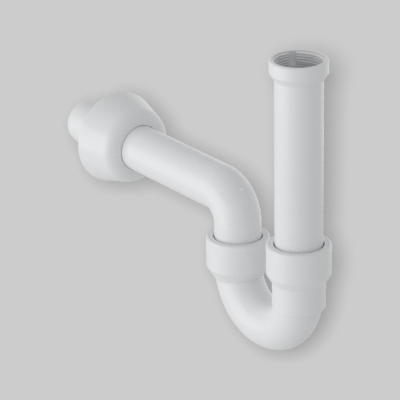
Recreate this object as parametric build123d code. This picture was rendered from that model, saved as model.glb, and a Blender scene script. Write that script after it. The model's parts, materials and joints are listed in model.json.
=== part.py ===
from build123d import *
import os
from math import cos, radians, tan

# Basin trap: a tubular P-trap with push-fit sockets and a wall rosette.
# Millimetres. The origin is the centre of the inlet collar's mouth, +Z runs up the inlet's axis
# and +Y runs along the outlet pipe to the wall.

# Pipes
pipe_d = 40.0             # outside of every pipe run
pipe_wall = 2.0
lead_in = 6.0             # length of the taper on a plain pipe end
lead_in_depth = 1.5       # what that taper takes off the radius

# Inlet pipe and its threaded collar
inlet_length = 200.0      # mouth to the lower end
thread_bore_d = 38.952    # minor diameter of a 1 1/4 inch pipe thread
thread_depth = 12.0
collar_wall = 4.674       # outside to the thread's bore
collar_height = 11.2      # straight part of the collar
collar_edge = 1.9         # rounding of the collar's rim
collar_blend = 1.0        # rounding of its lower edge and of the taper's foot
gasket_overlap = 0.724    # gasket's outside beyond the thread's bore, on the radius
gasket_width = 3.2        # outside to bore
gasket_height = 2.2
ledge_wall = 1.7          # collar's wall outside the gasket's ledge
ledge_floor = 2.8         # gasket's ledge to the foot of the collar's taper

# Trap bend
inlet_insertion = 40.6    # inlet pipe inside the inlet socket
outlet_insertion = 25.3   # elbow's leg inside the outlet socket
rim_offset = 20.0         # outlet socket's rim below the inlet socket's rim
bend_radius = 41.1        # centre line
socket_wall = 2.8         # round the seal's seat
socket_height = 26.0      # straight part of a socket
socket_edge = 2.0         # rounding of a socket's rim
socket_blend = 1.0        # rounding between a socket and its taper
socket_taper_angle = 31.0
guide_wall = 1.9          # sleeve that guides the inlet pipe
guide_room = 13.6         # travel left below the inlet pipe
guide_floor = 2.0         # stop for the inlet pipe above the sleeve's foot
outlet_floor = 0.1        # stop for the elbow's leg above the start of the bend
guide_edge = 0.8

# Seals and the rings that hold them
seal_space = 4.2          # pipe to the wall of the seal's seat
seal_height = 9.0
seal_wall = 1.5
seal_lip = 1.0            # thickness of the lip
ring_height = 4.0
ring_chamfer = 0.8
ring_edge = 0.3

# Outlet bend
outlet_rise = 35.6        # outlet socket's rim to the outlet pipe's axis
elbow_radius = 24.7       # centre line
outlet_reach = 224.7      # outlet socket's axis to the end of the outlet pipe
spigot_relief = 0.2       # taken off the radius where the outlet pipe goes into the wall
spigot_length = 44.0

# Wall rosette
rosette_d = 81.2
rosette_depth = 36.8
rosette_band = 1.6        # straight band at the back rim
rosette_lean = 15.0       # angle of the side to the axis
rosette_fall = 8.0        # angle of the front, from square to the axis
rosette_front = 3.4       # straight front from the hole to the rounded shoulder
rosette_edge = 0.7
rosette_hole_edge = 0.5
rosette_wall = 2.0
rosette_setback = 48.6    # back rim to the end of the outlet pipe

# Clearances on the radius, and under seated pieces
guide_gap = 0.3           # pipe in its guide
lip_gap = 0.1             # seal's lip on the pipe
ring_gap = 0.6            # pipe in its retaining ring
seat_gap = 0.1            # seal in its seat
fit_gap = 0.03            # retaining ring in the socket
gasket_gap = 0.1
stop_gap = 0.3            # outlet bend's leg above its stop
rosette_gap = 0.3         # pipe in the rosette's hole

# Radii and places worked out from the above
pipe_r = pipe_d / 2
bore_r = pipe_r - pipe_wall
thread_r = thread_bore_d / 2
gasket_r = thread_r + gasket_overlap
spigot_r = pipe_r - spigot_relief
guide_bore_r = pipe_r + guide_gap
guide_r = guide_bore_r + guide_wall
seat_r = pipe_r + seal_space
socket_r = seat_r + socket_wall
rosette_hole_r = pipe_r + rosette_gap
seat_depth = ring_height + seal_height + seat_gap
taper_slope = tan(radians(socket_taper_angle))

inlet_rim_z = inlet_insertion - inlet_length
inlet_stop_z = -inlet_length - guide_room
outlet_rim_z = inlet_rim_z - rim_offset
outlet_leg_z = outlet_rim_z - outlet_insertion
outlet_stop_z = outlet_leg_z - stop_gap
bend_z = outlet_stop_z - outlet_floor
outlet_axis_y = 2 * bend_radius
outlet_axis_z = outlet_rim_z + outlet_rise
elbow_z = outlet_axis_z - elbow_radius
outlet_end_y = outlet_axis_y + outlet_reach
rosette_back_y = outlet_end_y - rosette_setback


def section(corners):
    """Face in the XZ plane from (radius, height) corners; a third value rounds that corner."""
    points = [corner[:2] for corner in corners]
    rounding = [corner[2] if len(corner) > 2 else 0 for corner in corners]
    return Plane.XZ * make_face(FilletPolyline(*points, radius=rounding, close=True))


def turned(corners):
    """Solid of revolution about Z."""
    return revolve(section(corners), Axis.Z)


def bent(radius, start_y, start_z, bend, angle, down):
    """Round bar that starts upright at the given place and bends towards +Y, down or up."""
    pivot = Axis((0, start_y + bend, start_z), (1 if down else -1, 0, 0))
    return revolve(Pos(0, start_y, start_z) * Circle(radius), pivot, angle)


def bar(radius, bottom_z, top_z):
    return turned([(0, bottom_z), (radius, bottom_z), (radius, top_z), (0, top_z)])


def at_outlet(solid):
    return Pos(0, outlet_axis_y, 0) * solid


def along_outlet(solid, y):
    """Solid made along Z, laid along the outlet pipe with its own zero at y."""
    return Pos(0, y, outlet_axis_z) * Rot(-90, 0, 0) * solid


def inlet_pipe():
    collar_r = thread_r + collar_wall
    gasket_seat_r = gasket_r + gasket_gap
    ledge_r = max(gasket_seat_r, pipe_r) + ledge_wall
    ledge_z = -thread_depth - gasket_height - gasket_gap
    return turned([
        (thread_r, 0),
        (collar_r, 0, collar_edge),
        (collar_r, -collar_height, collar_blend),
        (ledge_r, ledge_z),
        (pipe_r, ledge_z - ledge_floor, collar_blend),
        (pipe_r, lead_in - inlet_length),
        (pipe_r - lead_in_depth, -inlet_length),
        (bore_r, -inlet_length),
        (bore_r, ledge_z),
        (gasket_seat_r, ledge_z),
        (gasket_seat_r, -thread_depth),
        (thread_r, -thread_depth),
    ])


def inlet_gasket():
    top_z = -thread_depth - gasket_gap
    inner_r = gasket_r - gasket_width
    bottom_z = top_z - gasket_height
    return turned([(inner_r, bottom_z), (gasket_r, bottom_z), (gasket_r, top_z), (inner_r, top_z)])


def socket_outside(rim_z, neck_r):
    """Straight wall with a rounded rim, then a taper that ends at the neck's radius."""
    taper_z = rim_z - socket_height
    neck_z = taper_z - (socket_r - neck_r) / taper_slope
    return turned([
        (0, rim_z),
        (socket_r, rim_z, socket_edge),
        (socket_r, taper_z, socket_blend),
        (neck_r, neck_z),
        (0, neck_z),
    ])


def guide_sleeve():
    top_z = inlet_rim_z - socket_height
    foot_z = inlet_stop_z - guide_floor
    return turned([
        (0, top_z),
        (guide_r, top_z),
        (guide_r, foot_z, guide_edge),
        (0, foot_z),
    ])


def socket_bore(rim_z, stop_z):
    """Seat of the seal and its ring, then the guide down to the pipe's stop."""
    return bar(seat_r, rim_z - seat_depth, rim_z) + bar(guide_bore_r, stop_z, rim_z)


def u_bend(radius):
    """Round bar through the whole trap, from one socket's rim down and up to the other's."""
    bend = bent(radius, 0, bend_z, bend_radius, 180, down=True)
    return bar(radius, bend_z, inlet_rim_z) + bend + at_outlet(bar(radius, bend_z, outlet_rim_z))


def trap_bend():
    outside = u_bend(pipe_r) + socket_outside(inlet_rim_z, guide_r) + guide_sleeve()
    outside += at_outlet(socket_outside(outlet_rim_z, bore_r))
    water_way = u_bend(bore_r) + socket_bore(inlet_rim_z, inlet_stop_z)
    water_way += at_outlet(socket_bore(outlet_rim_z, outlet_stop_z))
    return outside - water_way


def lip_seal(rim_z):
    """Ring with a lip that slants down to the pipe, below the retaining ring."""
    top_z = rim_z - ring_height
    bottom_z = top_z - seal_height
    outer_r = seat_r - seat_gap
    wall_r = outer_r - seal_wall
    lip_r = pipe_r + lip_gap
    root_z = top_z - seal_height / 4
    tip_z = bottom_z + seal_height / 4
    return turned([
        (outer_r, bottom_z),
        (outer_r, top_z),
        (wall_r - seal_lip, top_z),
        (wall_r - seal_lip, root_z),
        (lip_r, tip_z + seal_lip),
        (lip_r, tip_z),
        (lip_r + seal_lip, tip_z),
        (wall_r, root_z - seal_lip),
        (wall_r, bottom_z),
    ])


def retaining_ring(rim_z):
    inner_r = pipe_r + ring_gap
    outer_r = seat_r - fit_gap
    return turned([
        (inner_r, rim_z - ring_height),
        (outer_r, rim_z - ring_height),
        (outer_r, rim_z, ring_edge),
        (inner_r + ring_chamfer, rim_z),
        (inner_r, rim_z - ring_chamfer),
    ])


def outlet_bend():
    run_y = outlet_axis_y + elbow_radius
    run = outlet_end_y - run_y
    leg = turned([
        (0, elbow_z),
        (pipe_r, elbow_z),
        (pipe_r, outlet_leg_z + lead_in),
        (pipe_r - lead_in_depth, outlet_leg_z),
        (0, outlet_leg_z),
    ])
    straight = turned([
        (0, 0),
        (pipe_r, 0),
        (pipe_r, run - spigot_length),
        (spigot_r, run - spigot_length),
        (spigot_r, run - lead_in),
        (spigot_r - lead_in_depth, run),
        (0, run),
    ])
    elbow = bent(pipe_r, outlet_axis_y, elbow_z, elbow_radius, 90, down=False)
    outside = at_outlet(leg) + elbow + along_outlet(straight, run_y)
    water_way = at_outlet(bar(bore_r, outlet_leg_z, elbow_z))
    water_way += bent(bore_r, outlet_axis_y, elbow_z, elbow_radius, 90, down=False)
    water_way += along_outlet(bar(bore_r, 0, run), run_y)
    return outside - water_way


def dome(wall):
    """Solid dome of the rosette, its back at zero and its nose below, taken in by a wall."""
    lean = tan(radians(rosette_lean))
    fall = tan(radians(rosette_fall))
    turn = radians(90 - rosette_lean - rosette_fall)
    rim_r = rosette_d / 2 - wall
    band_z = wall * tan(radians(rosette_lean / 2)) - rosette_band
    nose_z = wall / cos(radians(rosette_fall)) - rosette_depth
    back_r = rim_r - band_z * lean
    shoulder_r = (back_r + lean * (nose_z - rosette_hole_r * fall)) / (1 - lean * fall)
    shoulder_z = nose_z + (shoulder_r - rosette_hole_r) * fall
    front = (shoulder_r - rosette_hole_r) / cos(radians(rosette_fall))
    rounding = (front - rosette_front + wall * fall) / tan(turn / 2)
    return turned([
        (0, 0),
        (rim_r, 0),
        (rim_r, band_z),
        (shoulder_r, shoulder_z, rounding),
        (rosette_hole_r, nose_z),
        (0, nose_z),
    ])


def wall_rosette():
    shell = dome(0) - dome(rosette_wall) - bar(rosette_hole_r, -rosette_depth, 0)
    circles = shell.edges().filter_by(GeomType.CIRCLE).group_by(Axis.Z)
    shell = fillet(circles[-1].sort_by(SortBy.RADIUS)[-1], rosette_edge)
    circles = shell.edges().filter_by(GeomType.CIRCLE).group_by(Axis.Z)
    shell = fillet(circles[0].sort_by(SortBy.RADIUS)[0], rosette_hole_edge)
    return along_outlet(shell, rosette_back_y)


parts = {
    "inlet_pipe": inlet_pipe(),
    "inlet_gasket": inlet_gasket(),
    "trap_bend": trap_bend(),
    "inlet_seal": lip_seal(inlet_rim_z),
    "inlet_retaining_ring": retaining_ring(inlet_rim_z),
    "outlet_seal": at_outlet(lip_seal(outlet_rim_z)),
    "outlet_retaining_ring": at_outlet(retaining_ring(outlet_rim_z)),
    "outlet_bend": outlet_bend(),
    "wall_rosette": wall_rosette(),
}

os.makedirs("parts", exist_ok=True)
for name, solid in parts.items():
    export_step(solid, f"parts/{name}.step")
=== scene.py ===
import json
from math import cos, pi, radians, sin, tan

import bpy
from mathutils import Matrix, Vector


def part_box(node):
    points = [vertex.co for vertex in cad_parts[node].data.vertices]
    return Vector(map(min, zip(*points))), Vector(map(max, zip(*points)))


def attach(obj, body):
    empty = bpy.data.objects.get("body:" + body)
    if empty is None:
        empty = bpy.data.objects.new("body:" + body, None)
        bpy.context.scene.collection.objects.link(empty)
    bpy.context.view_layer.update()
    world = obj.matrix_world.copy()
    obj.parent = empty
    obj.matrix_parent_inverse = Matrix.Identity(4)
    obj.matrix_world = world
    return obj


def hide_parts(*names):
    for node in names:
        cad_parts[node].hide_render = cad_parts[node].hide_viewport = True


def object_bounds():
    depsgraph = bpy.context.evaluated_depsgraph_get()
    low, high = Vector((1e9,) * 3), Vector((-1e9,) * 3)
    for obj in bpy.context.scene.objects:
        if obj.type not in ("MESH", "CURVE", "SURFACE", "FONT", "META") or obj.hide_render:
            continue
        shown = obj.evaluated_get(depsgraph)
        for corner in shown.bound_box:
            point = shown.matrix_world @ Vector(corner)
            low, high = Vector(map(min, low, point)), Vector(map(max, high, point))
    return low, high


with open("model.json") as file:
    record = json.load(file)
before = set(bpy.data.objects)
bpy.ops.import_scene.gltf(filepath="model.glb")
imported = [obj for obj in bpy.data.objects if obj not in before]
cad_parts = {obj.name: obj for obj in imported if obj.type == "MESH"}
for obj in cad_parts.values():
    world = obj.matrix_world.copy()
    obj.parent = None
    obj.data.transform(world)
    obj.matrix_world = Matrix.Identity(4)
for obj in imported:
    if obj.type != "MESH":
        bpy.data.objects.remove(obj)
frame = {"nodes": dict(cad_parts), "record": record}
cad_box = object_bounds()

# Basin trap in white satin plastic: finishes, the collar's thread, camera and studio.
# Metres. The origin is the centre of the inlet collar's mouth, +Z is up and +Y runs to the wall.

# Camera, fitted to the edges in the photograph
picture_size = 400                    # pixels, square
view_azimuth = radians(-36.338)
view_elevation = radians(22.335)
view_roll = radians(-0.801)
view_distance = 2.4
view_target = Vector((0, 0, -0.110))
target_right = 0.07997                # target's place from the middle of the picture
target_up = 0.01054
pixels_per_metre = 1235.9             # at the target
sensor_width = 36.0                   # millimetres

# Studio
ambient = 0.583                       # radiance of the surroundings
floor_drop = 0.8                      # floor below the lowest point of the bend
floor_size = 30.0
floor_albedo = 0.58
panel_distance = 2.4
panel_width = 3.0
panel_height = 2.1
key_left = radians(77)                # from the camera
key_radiance = 1.14
fill_left = radians(50)
fill_radiance = 0.4
rim_right = radians(145)              # from the camera, behind the object
rim_radiance = 0.4
shadow_lamp_left = 0.0139             # from the camera
shadow_lamp_above = 0.0061
shadow_lamp_r = 0.027
shadow_level = 0.266                  # floor's radiance from this lamp

# White plastic: satin, with a fine grain and faint flow ripples
plastic_dark = (0.797, 0.806, 0.816)
plastic_light = (0.807, 0.815, 0.825)
plastic_smooth = 0.25                 # least and most roughness
plastic_rough = 0.29
plastic_ior = 1.49
plastic_detail = 2.0
ripple_scale = 45.0                   # features per metre
ripple_depth = 0.000004
grain_scale = 2600.0
grain_depth = 0.0000006
translucent_share = 0.08
translucent_depth = 0.0015

# Rubber of the gasket and the seals: matt, with a fine grain
gasket_dark = (0.62, 0.63, 0.64)
gasket_light = (0.68, 0.69, 0.70)
seal_dark = (0.012, 0.012, 0.013)
seal_light = (0.022, 0.022, 0.023)
rubber_smooth = 0.55                  # least and most roughness
rubber_rough = 0.7
rubber_detail = 3.0
cloud_scale = 300.0                   # features per metre
rubber_grain_scale = 3500.0
rubber_grain_depth = 0.00001

# Shares of a noise at which a finish reaches its two ends
noise_low = 0.3
noise_high = 0.7

# Inlet pipe
pipe_wall = 0.002
lead_in = 0.006                       # taper on the pipe's lower end
lead_in_depth = 0.0015
collar_height = 0.0112
collar_edge = 0.0019
collar_blend = 0.001
ledge_wall = 0.0017
ledge_floor = 0.0028
gasket_gap = 0.0001
pipe_segments = 224
corner_steps = 6
sharp_angle = radians(28)             # faces that meet at more than this stay sharp

# Collar's 1 1/4 inch pipe thread, which shrinks away at its two ends and along two plain strips
thread_root_r = 0.020955
thread_pitch = 0.002309
thread_first_crest = 0.0027           # below the rim, at the angle of +X
thread_mouth = 0.0012                 # plain depth below the rim
thread_fade = 0.0010                  # over which the ridges grow and shrink
mouth_chamfer = 0.00015
thread_rows_per_turn = 14
strip_angle = radians(66)             # middle of the first plain strip
strip_width = 0.006
strip_count = 2
strip_fade = 0.0006

# Gate mark of the elbow's moulding, on its outer line
elbow_radius = 0.0247                 # centre line
gate_angle = radians(45.7)            # from the upright leg
gate_width = 0.0027
gate_length = 0.0040
gate_height = 0.0011
gate_steps = 24


def opaque(rgb):
    """Colour as a socket takes it."""
    return (*rgb, 1.0)


def material_nodes(name):
    """New material with a principled shader: the material, its node tree and the shader."""
    material = bpy.data.materials.new(name)
    material.use_nodes = True
    tree = material.node_tree
    return material, tree, tree.nodes["Principled BSDF"]


def noise(tree, scale, detail):
    """Noise in the row frame; scale is in features per metre."""
    place_node = tree.nodes.new("ShaderNodeTexCoord")
    texture = tree.nodes.new("ShaderNodeTexNoise")
    texture.inputs["Scale"].default_value = scale
    texture.inputs["Detail"].default_value = detail
    tree.links.new(place_node.outputs["Object"], texture.inputs["Vector"])
    return texture.outputs["Fac"]


def between(tree, factor, low, high):
    """Value that runs from low to high with a noise."""
    spread = tree.nodes.new("ShaderNodeMapRange")
    spread.inputs["From Min"].default_value = noise_low
    spread.inputs["From Max"].default_value = noise_high
    spread.inputs["To Min"].default_value = low
    spread.inputs["To Max"].default_value = high
    tree.links.new(factor, spread.inputs["Value"])
    return spread.outputs["Result"]


def two_tone(tree, factor, dark, light):
    """Colour that runs between two tones with a noise."""
    ramp = tree.nodes.new("ShaderNodeValToRGB")
    ramp.color_ramp.elements[0].position = noise_low
    ramp.color_ramp.elements[0].color = opaque(dark)
    ramp.color_ramp.elements[1].position = noise_high
    ramp.color_ramp.elements[1].color = opaque(light)
    tree.links.new(factor, ramp.inputs["Fac"])
    return ramp.outputs["Color"]


def bump(tree, height, depth, below=None):
    """Surface relief of the given depth in metres, on top of another relief."""
    relief = tree.nodes.new("ShaderNodeBump")
    relief.inputs["Strength"].default_value = 1.0
    relief.inputs["Distance"].default_value = depth
    tree.links.new(height, relief.inputs["Height"])
    if below is not None:
        tree.links.new(below, relief.inputs["Normal"])
    return relief.outputs["Normal"]


def white_plastic():
    """Injection-moulded polypropylene: satin, with a fine grain and faint flow ripples."""
    material, tree, shader = material_nodes("white_plastic")
    ripple = noise(tree, ripple_scale, plastic_detail)
    grain = noise(tree, grain_scale, plastic_detail)
    tone = two_tone(tree, ripple, plastic_dark, plastic_light)
    tree.links.new(tone, shader.inputs["Base Color"])
    roughness = between(tree, ripple, plastic_smooth, plastic_rough)
    tree.links.new(roughness, shader.inputs["Roughness"])
    rippled = bump(tree, ripple, ripple_depth)
    tree.links.new(bump(tree, grain, grain_depth, rippled), shader.inputs["Normal"])
    shader.inputs["IOR"].default_value = plastic_ior
    shader.inputs["Subsurface Weight"].default_value = translucent_share
    shader.inputs["Subsurface Radius"].default_value = (1.0, 1.0, 1.0)
    shader.inputs["Subsurface Scale"].default_value = translucent_depth
    return material


def rubber(name, dark, light):
    """Matt moulded rubber with a fine grain."""
    material, tree, shader = material_nodes(name)
    cloud = noise(tree, cloud_scale, rubber_detail)
    grain = noise(tree, rubber_grain_scale, rubber_detail)
    tree.links.new(two_tone(tree, cloud, dark, light), shader.inputs["Base Color"])
    roughness = between(tree, cloud, rubber_smooth, rubber_rough)
    tree.links.new(roughness, shader.inputs["Roughness"])
    tree.links.new(bump(tree, grain, rubber_grain_depth), shader.inputs["Normal"])
    return material


def smooth_piece(name, vertices, faces, material, sharp_angle):
    """Mesh object with smooth shading, broken where its faces meet at more than an angle."""
    mesh = bpy.data.meshes.new(name)
    mesh.from_pydata(vertices, [], faces)
    mesh.validate()
    mesh.polygons.foreach_set("use_smooth", [True] * len(mesh.polygons))
    mesh.set_sharp_from_angle(angle=sharp_angle)
    mesh.materials.append(material)
    piece = bpy.data.objects.new(name, mesh)
    bpy.context.scene.collection.objects.link(piece)
    return piece


def turned_rings(rings, segments):
    """Closed skin of rings about Z; a ring is a height and a radius, which may depend on the angle."""
    vertices = []
    for radius, z in rings:
        for k in range(segments):
            angle = 2 * pi * k / segments
            r = radius(angle) if callable(radius) else radius
            vertices.append((r * cos(angle), r * sin(angle), z))
    faces = []
    for i in range(len(rings)):
        low, high = i * segments, (i + 1) % len(rings) * segments
        for k in range(segments):
            n = (k + 1) % segments
            faces.append((low + k, high + k, high + n, low + n))
    return vertices, faces


def smooth_step(x):
    x = min(max(x, 0.0), 1.0)
    return x * x * (3 - 2 * x)


def rounded(corners):
    """Points of an outline of (radius, height, rounding) corners, with each rounding as an arc."""
    points = []
    for i, (r, z, rounding) in enumerate(corners):
        corner = Vector((r, z))
        if not rounding:
            points.append(tuple(corner))
            continue
        before = (Vector(corners[i - 1][:2]) - corner).normalized()
        after = (Vector(corners[(i + 1) % len(corners)][:2]) - corner).normalized()
        half = before.angle(after) / 2
        middle = corner + (before + after).normalized() * rounding / sin(half)
        start = corner + before * rounding / tan(half)
        swing = corner + after * rounding / tan(half) - middle
        turn = (start - middle).angle_signed(swing)
        for k in range(corner_steps + 1):
            step = -turn * k / corner_steps
            points.append(tuple(middle + Matrix.Rotation(step, 2) @ (start - middle)))
    return points


def strip_share(angle):
    """1 on a plain strip of the thread and 0 away from it."""
    spacing = 2 * pi / strip_count
    off = abs((angle - strip_angle + spacing / 2) % spacing - spacing / 2)
    return 1 - smooth_step((off * thread_root_r - strip_width / 2) / strip_fade)


def thread_radius(depth, crest_r, last):
    """Radius of the thread at a depth below the rim, as a function of the angle."""
    ends = smooth_step((depth - thread_mouth) / thread_fade) * smooth_step((last - depth) / thread_fade)

    def radius(angle):
        turns = (depth - thread_first_crest) / thread_pitch + angle / (2 * pi)
        ridge = (0.5 + 0.5 * cos(2 * pi * turns)) * ends * (1 - strip_share(angle))
        return thread_root_r + (crest_r - thread_root_r) * ridge

    return radius


def inlet_pipe():
    """The inlet pipe with its thread cut, to the same outline as the solid."""
    low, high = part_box("inlet_pipe")
    gasket_low, gasket_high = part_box("inlet_gasket")
    pipe_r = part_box("outlet_bend")[1].x
    seat_r = gasket_high.x + gasket_gap
    ledge_z = gasket_low.z
    thread_end = -gasket_high.z - gasket_gap
    thread_mount = next(m for m in frame["record"]["mounts"] if m["kind"] == "threaded_hole")
    crest_r = thread_mount["dims"]["r_mm"] / 1000
    outline = rounded([
        (thread_root_r, -thread_end, 0),
        (seat_r, -thread_end, 0),
        (seat_r, ledge_z, 0),
        (pipe_r - pipe_wall, ledge_z, 0),
        (pipe_r - pipe_wall, low.z, 0),
        (pipe_r - lead_in_depth, low.z, 0),
        (pipe_r, low.z + lead_in, 0),
        (pipe_r, ledge_z - ledge_floor, collar_blend),
        (seat_r + ledge_wall, ledge_z, 0),
        (high.x, -collar_height, collar_blend),
        (high.x, high.z, collar_edge),
        (thread_root_r + mouth_chamfer, high.z, 0),
        (thread_root_r, high.z - mouth_chamfer, 0),
    ])
    rows = int((thread_end - thread_mouth) / thread_pitch * thread_rows_per_turn)
    rings = list(outline)
    for k in range(rows):
        depth = thread_mouth + (thread_end - thread_mouth) * k / rows
        rings.append((thread_radius(depth, crest_r, thread_end), -depth))
    vertices, faces = turned_rings(rings, pipe_segments)
    piece = smooth_piece("threaded_inlet_pipe", vertices, faces, plastic, sharp_angle)
    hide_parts("inlet_pipe")
    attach(piece, "inlet")
    return piece


def gate_mark():
    """Low oval nub on the elbow's outer line, half sunk in its wall."""
    low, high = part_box("outlet_bend")
    leg_y = low.y + high.x
    axis_z = high.z - high.x
    outer = elbow_radius + high.x
    normal = Vector((0, -cos(gate_angle), sin(gate_angle)))
    along = Vector((0, sin(gate_angle), cos(gate_angle)))
    across = Vector((1, 0, 0))
    middle = Vector((0, leg_y + elbow_radius, axis_z - elbow_radius)) + outer * normal
    vertices = [middle - gate_height * normal]
    for i in range(1, gate_steps):
        rise = -cos(pi * i / gate_steps) * gate_height
        spread = sin(pi * i / gate_steps)
        for k in range(gate_steps):
            angle = 2 * pi * k / gate_steps
            side = cos(angle) * gate_width / 2 * across + sin(angle) * gate_length / 2 * along
            vertices.append(middle + rise * normal + spread * side)
    vertices.append(middle + gate_height * normal)
    faces = []
    for k in range(gate_steps):
        n = (k + 1) % gate_steps
        faces.append((0, 1 + n, 1 + k))
        for i in range(gate_steps - 2):
            a = 1 + i * gate_steps
            faces.append((a + k, a + n, a + gate_steps + n, a + gate_steps + k))
        a = 1 + (gate_steps - 2) * gate_steps
        faces.append((a + k, a + n, len(vertices) - 1))
    piece = smooth_piece("gate_mark", vertices, faces, plastic, pi)
    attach(piece, "outlet")
    return piece


def camera():
    """Camera at the photograph's viewing angle and framing."""
    back = Vector((
        sin(view_azimuth) * cos(view_elevation),
        -cos(view_azimuth) * cos(view_elevation),
        sin(view_elevation),
    ))
    level = Vector((cos(view_azimuth), sin(view_azimuth), 0))
    upright = back.cross(level)
    right = cos(view_roll) * level + sin(view_roll) * upright
    up = -sin(view_roll) * level + cos(view_roll) * upright
    data = bpy.data.cameras.new("camera")
    data.sensor_width = sensor_width
    data.lens = sensor_width * pixels_per_metre * view_distance / picture_size
    eye = bpy.data.objects.new("camera", data)
    turn = Matrix((right, up, back)).transposed().to_4x4()
    eye.matrix_world = Matrix.Translation(
        view_target + view_distance * back - target_right * right - target_up * up
    ) @ turn
    bpy.context.scene.collection.objects.link(eye)
    bpy.context.scene.camera = eye
    return eye


def studio_world():
    """Even, pale surroundings."""
    world = bpy.data.worlds.new("studio")
    world.use_nodes = True
    shade = world.node_tree.nodes["Background"]
    shade.inputs["Color"].default_value = opaque((1.0, 1.0, 1.0))
    shade.inputs["Strength"].default_value = ambient
    bpy.context.scene.world = world


def floor_sheet(name, albedo):
    """Large matt floor below the bend."""
    half = floor_size / 2
    z = cad_box[0].z - floor_drop
    material, _, shader = material_nodes(name)
    shader.inputs["Base Color"].default_value = opaque((albedo, albedo, albedo))
    shader.inputs["Roughness"].default_value = 1.0
    shader.inputs["Specular IOR Level"].default_value = 0.0
    corners = [(-half, -half, z), (half, -half, z), (half, half, z), (-half, half, z)]
    sheet = smooth_piece(name, corners, [(0, 1, 2, 3)], material, pi)
    return sheet


def linked(lamp, *receivers):
    """Lets a lamp light only the given objects."""
    group = bpy.data.collections.new(lamp.name + "_lights")
    for receiver in receivers:
        group.objects.link(receiver)
    lamp.light_linking.receiver_collection = group


def panel(name, azimuth, radiance):
    """Soft upright panel that faces the middle of the object, at an azimuth seen from it."""
    data = bpy.data.lights.new(name, "AREA")
    data.shape = "RECTANGLE"
    data.size = panel_width
    data.size_y = panel_height
    data.energy = radiance * pi * panel_width * panel_height
    direction = Vector((sin(azimuth), -cos(azimuth), 0))
    lamp = bpy.data.objects.new(name, data)
    lamp.location = (cad_box[0] + cad_box[1]) / 2 + panel_distance * direction
    lamp.rotation_euler = direction.to_track_quat("Z", "Y").to_euler()
    lamp.visible_camera = False
    bpy.context.scene.collection.objects.link(lamp)
    return lamp


def floor_lamp(name, location, radius, radiance, sheet):
    """Small lamp that lights a matt floor evenly: its strength makes up for distance and slant."""
    data = bpy.data.lights.new(name, "POINT")
    data.shadow_soft_size = radius
    drop = location.z - sheet.data.vertices[0].co.z
    data.energy = 4 * pi * pi * radiance / floor_albedo / drop
    data.use_nodes = True
    tree = data.node_tree
    emission = tree.nodes["Emission"]
    falloff = tree.nodes.new("ShaderNodeLightFalloff")
    falloff.inputs["Strength"].default_value = 1.0
    path = tree.nodes.new("ShaderNodeLightPath")
    level = tree.nodes.new("ShaderNodeMath")
    level.operation = "MULTIPLY"
    tree.links.new(falloff.outputs["Constant"], level.inputs[0])
    tree.links.new(path.outputs["Ray Length"], level.inputs[1])
    tree.links.new(level.outputs["Value"], emission.inputs["Strength"])
    lamp = bpy.data.objects.new(name, data)
    lamp.location = location
    bpy.context.scene.collection.objects.link(lamp)
    return lamp


eye = camera()

plastic = white_plastic()
gasket_rubber = rubber("gasket_rubber", gasket_dark, gasket_light)
seal_rubber = rubber("seal_rubber", seal_dark, seal_light)
finishes = {"white_plastic": plastic, "gasket_rubber": gasket_rubber, "seal_rubber": seal_rubber}
for part in frame["record"]["subparts"]:
    node = frame["nodes"][part["node"]]
    node.data.materials.clear()
    node.data.materials.append(finishes[part["material_slot"]])

pipe = inlet_pipe()
gate = gate_mark()
studio_world()
floor = floor_sheet("floor", floor_albedo)
floor.visible_diffuse = False
floor.visible_glossy = False
floor.visible_shadow = False
key = panel("key", view_azimuth - key_left, key_radiance)
fill = panel("fill", view_azimuth - fill_left, fill_radiance)
rim = panel("rim", view_azimuth + rim_right, rim_radiance)
for lamp in (key, fill, rim):
    linked(lamp, pipe, gate, *frame["nodes"].values())
beside_camera = eye.matrix_world @ Vector((-shadow_lamp_left, shadow_lamp_above, 0))
shadow_lamp = floor_lamp("shadow", beside_camera, shadow_lamp_r, shadow_level, floor)
linked(shadow_lamp, floor)

bpy.context.scene.view_settings.view_transform = "Standard"
